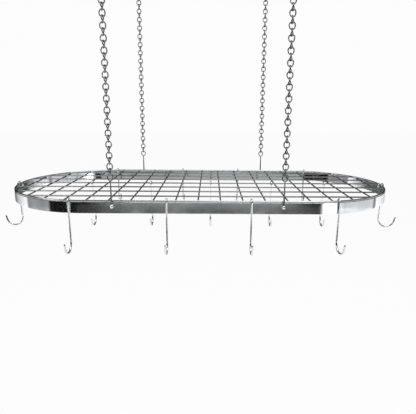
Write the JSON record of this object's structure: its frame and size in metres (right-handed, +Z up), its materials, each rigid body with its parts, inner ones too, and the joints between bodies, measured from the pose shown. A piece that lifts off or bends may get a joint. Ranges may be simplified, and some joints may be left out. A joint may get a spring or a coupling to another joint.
{
  "type": "hanging pot rack",
  "caption": "Oval chrome pot rack that hangs from the ceiling on chains, with a flat band, a welded wire grid to stand pots on, and J-shaped hooks round its rim and along its middle.",
  "frame": {"origin": "on the ceiling, at the centre of the rectangle of the four ceiling hooks", "axes": "+X along the rack to its right-hand end, +Y from the front side to the back, +Z up into the ceiling"},
  "size_m": [1.1672, 0.6072, 0.7648],
  "materials": {
    "band_chrome": "polished chrome plate on steel flat bar",
    "grid_chrome": "bright chrome plate on welded steel wire",
    "rod_chrome": "polished chrome plate on turned steel",
    "screw_chrome": "polished chrome plate on steel",
    "chain_chrome": "polished chrome plate on steel chain",
    "ceiling_hook_chrome": "polished chrome plate on steel wire",
    "hook_chrome": "polished chrome plate on bent steel rod"
  },
  "bodies": {
    "ceiling_hooks": {"ceiling_hook_front_left": "ceiling_hook_chrome", "ceiling_hook_front_right": "ceiling_hook_chrome", "ceiling_hook_back_left": "ceiling_hook_chrome", "ceiling_hook_back_right": "ceiling_hook_chrome"},
    "chain_front_left_body": {"chain_front_left": "chain_chrome", "hanger_rod_front_left": "rod_chrome", "hanger_screw_front_left": "screw_chrome"},
    "chain_front_right_body": {"chain_front_right": "chain_chrome", "hanger_rod_front_right": "rod_chrome", "hanger_screw_front_right": "screw_chrome"},
    "chain_back_left_body": {"chain_back_left": "chain_chrome", "hanger_rod_back_left": "rod_chrome", "hanger_screw_back_left": "screw_chrome"},
    "chain_back_right_body": {"chain_back_right": "chain_chrome", "hanger_rod_back_right": "rod_chrome", "hanger_screw_back_right": "screw_chrome"},
    "rack": {"oval_band": "band_chrome", "rim_wire": "grid_chrome", "long_wire_1": "grid_chrome", "long_wire_2": "grid_chrome", "long_wire_3": "grid_chrome", "long_wire_4": "grid_chrome", "long_wire_5": "grid_chrome", "long_wire_6": "grid_chrome", "long_wire_7": "grid_chrome", "cross_wire_1": "grid_chrome", "cross_wire_2": "grid_chrome", "cross_wire_3": "grid_chrome", "cross_wire_4": "grid_chrome", "cross_wire_5": "grid_chrome", "cross_wire_6": "grid_chrome", "cross_wire_7": "grid_chrome", "cross_wire_8": "grid_chrome", "cross_wire_9": "grid_chrome", "cross_wire_10": "grid_chrome", "cross_wire_11": "grid_chrome", "cross_wire_12": "grid_chrome", "cross_wire_13": "grid_chrome", "cross_wire_14": "grid_chrome", "cross_wire_15": "grid_chrome", "cross_wire_16": "grid_chrome", "cross_wire_17": "grid_chrome", "cross_wire_18": "grid_chrome", "cross_wire_19": "grid_chrome"},
    "pot_hook_front_1_body": {"pot_hook_front_1": "hook_chrome"},
    "pot_hook_front_2_body": {"pot_hook_front_2": "hook_chrome"},
    "pot_hook_front_3_body": {"pot_hook_front_3": "hook_chrome"},
    "pot_hook_front_4_body": {"pot_hook_front_4": "hook_chrome"},
    "pot_hook_back_1_body": {"pot_hook_back_1": "hook_chrome"},
    "pot_hook_back_2_body": {"pot_hook_back_2": "hook_chrome"},
    "pot_hook_back_3_body": {"pot_hook_back_3": "hook_chrome"},
    "pot_hook_back_4_body": {"pot_hook_back_4": "hook_chrome"},
    "pot_hook_left_end_body": {"pot_hook_left_end": "hook_chrome"},
    "pot_hook_right_end_body": {"pot_hook_right_end": "hook_chrome"},
    "pot_hook_middle_1_body": {"pot_hook_middle_1": "hook_chrome"},
    "pot_hook_middle_2_body": {"pot_hook_middle_2": "hook_chrome"},
    "pot_hook_middle_3_body": {"pot_hook_middle_3": "hook_chrome"},
    "pot_hook_middle_4_body": {"pot_hook_middle_4": "hook_chrome"},
    "pot_hook_middle_5_body": {"pot_hook_middle_5": "hook_chrome"}
  },
  "joints": [
    {"name": "sway_front_left", "type": "hinge", "parent": "ceiling_hooks", "child": "chain_front_left_body", "pos_m": [-0.2083, -0.25905, -0.02762], "axis": [0, 1, 0], "range_deg": [-8, 8]},
    {"name": "sway_front_right", "type": "hinge", "parent": "ceiling_hooks", "child": "chain_front_right_body", "pos_m": [0.2083, -0.25905, -0.02762], "axis": [0, 1, 0], "range_deg": [-8, 8]},
    {"name": "sway_back_left", "type": "hinge", "parent": "ceiling_hooks", "child": "chain_back_left_body", "pos_m": [-0.2083, 0.25905, -0.02762], "axis": [0, 1, 0], "range_deg": [-8, 8]},
    {"name": "sway_back_right", "type": "hinge", "parent": "ceiling_hooks", "child": "chain_back_right_body", "pos_m": [0.2083, 0.25905, -0.02762], "axis": [0, 1, 0], "range_deg": [-8, 8]},
    {"name": "rack_level", "type": "hinge", "parent": "chain_front_left_body", "child": "rack", "pos_m": [-0.2083, -0.25905, -0.61442], "axis": [0, 1, 0], "range_deg": [-8, 8]},
    {"name": "swing_front_1", "type": "hinge", "parent": "rack", "child": "pot_hook_front_1_body", "pos_m": [-0.31566, -0.2491, -0.60202], "axis": [-0.9905, 0.1378, 0], "range_deg": [0, 16]},
    {"name": "swing_front_2", "type": "hinge", "parent": "rack", "child": "pot_hook_front_2_body", "pos_m": [-0.076, -0.2515, -0.60202], "axis": [-1, 0, 0], "range_deg": [0, 16]},
    {"name": "swing_front_3", "type": "hinge", "parent": "rack", "child": "pot_hook_front_3_body", "pos_m": [0.131, -0.2515, -0.60202], "axis": [-1, 0, 0], "range_deg": [0, 16]},
    {"name": "swing_front_4", "type": "hinge", "parent": "rack", "child": "pot_hook_front_4_body", "pos_m": [0.34536, -0.24313, -0.60202], "axis": [-0.9667, -0.2559, 0], "range_deg": [0, 16]},
    {"name": "swing_back_1", "type": "hinge", "parent": "rack", "child": "pot_hook_back_1_body", "pos_m": [-0.29981, 0.25079, -0.60202], "axis": [0.9972, 0.0748, 0], "range_deg": [0, 16]},
    {"name": "swing_back_2", "type": "hinge", "parent": "rack", "child": "pot_hook_back_2_body", "pos_m": [-0.068, 0.2515, -0.60202], "axis": [1, 0, 0], "range_deg": [0, 16]},
    {"name": "swing_back_3", "type": "hinge", "parent": "rack", "child": "pot_hook_back_3_body", "pos_m": [0.128, 0.2515, -0.60202], "axis": [1, 0, 0], "range_deg": [0, 16]},
    {"name": "swing_back_4", "type": "hinge", "parent": "rack", "child": "pot_hook_back_4_body", "pos_m": [0.35922, 0.23903, -0.60202], "axis": [0.9504, -0.311, 0], "range_deg": [0, 16]},
    {"name": "swing_left_end", "type": "hinge", "parent": "rack", "child": "pot_hook_left_end_body", "pos_m": [-0.53155, -0.02178, -0.60202], "axis": [-0.0866, 0.9962, 0], "range_deg": [0, 16]},
    {"name": "swing_right_end", "type": "hinge", "parent": "rack", "child": "pot_hook_right_end_body", "pos_m": [0.53155, -0.02178, -0.60202], "axis": [-0.0866, -0.9962, 0], "range_deg": [0, 16]},
    {"name": "swing_middle_1", "type": "hinge", "parent": "rack", "child": "pot_hook_middle_1_body", "pos_m": [-0.324, 0, -0.60252], "axis": [-1, 0, 0], "range_deg": [-30, 30]},
    {"name": "swing_middle_2", "type": "hinge", "parent": "rack", "child": "pot_hook_middle_2_body", "pos_m": [-0.148, 0, -0.60252], "axis": [-1, 0, 0], "range_deg": [-30, 30]},
    {"name": "swing_middle_3", "type": "hinge", "parent": "rack", "child": "pot_hook_middle_3_body", "pos_m": [0.031, 0, -0.60252], "axis": [-1, 0, 0], "range_deg": [-30, 30]},
    {"name": "swing_middle_4", "type": "hinge", "parent": "rack", "child": "pot_hook_middle_4_body", "pos_m": [0.213, 0, -0.60252], "axis": [-1, 0, 0], "range_deg": [-30, 30]},
    {"name": "swing_middle_5", "type": "hinge", "parent": "rack", "child": "pot_hook_middle_5_body", "pos_m": [0.37, 0, -0.60252], "axis": [-1, 0, 0], "range_deg": [-30, 30]}
  ],
  "couplings": [
    {"joint": "sway_front_right", "follows": "sway_front_left", "ratio": 1},
    {"joint": "sway_back_left", "follows": "sway_front_left", "ratio": 1},
    {"joint": "sway_back_right", "follows": "sway_front_left", "ratio": 1},
    {"joint": "rack_level", "follows": "sway_front_left", "ratio": -1}
  ]
}
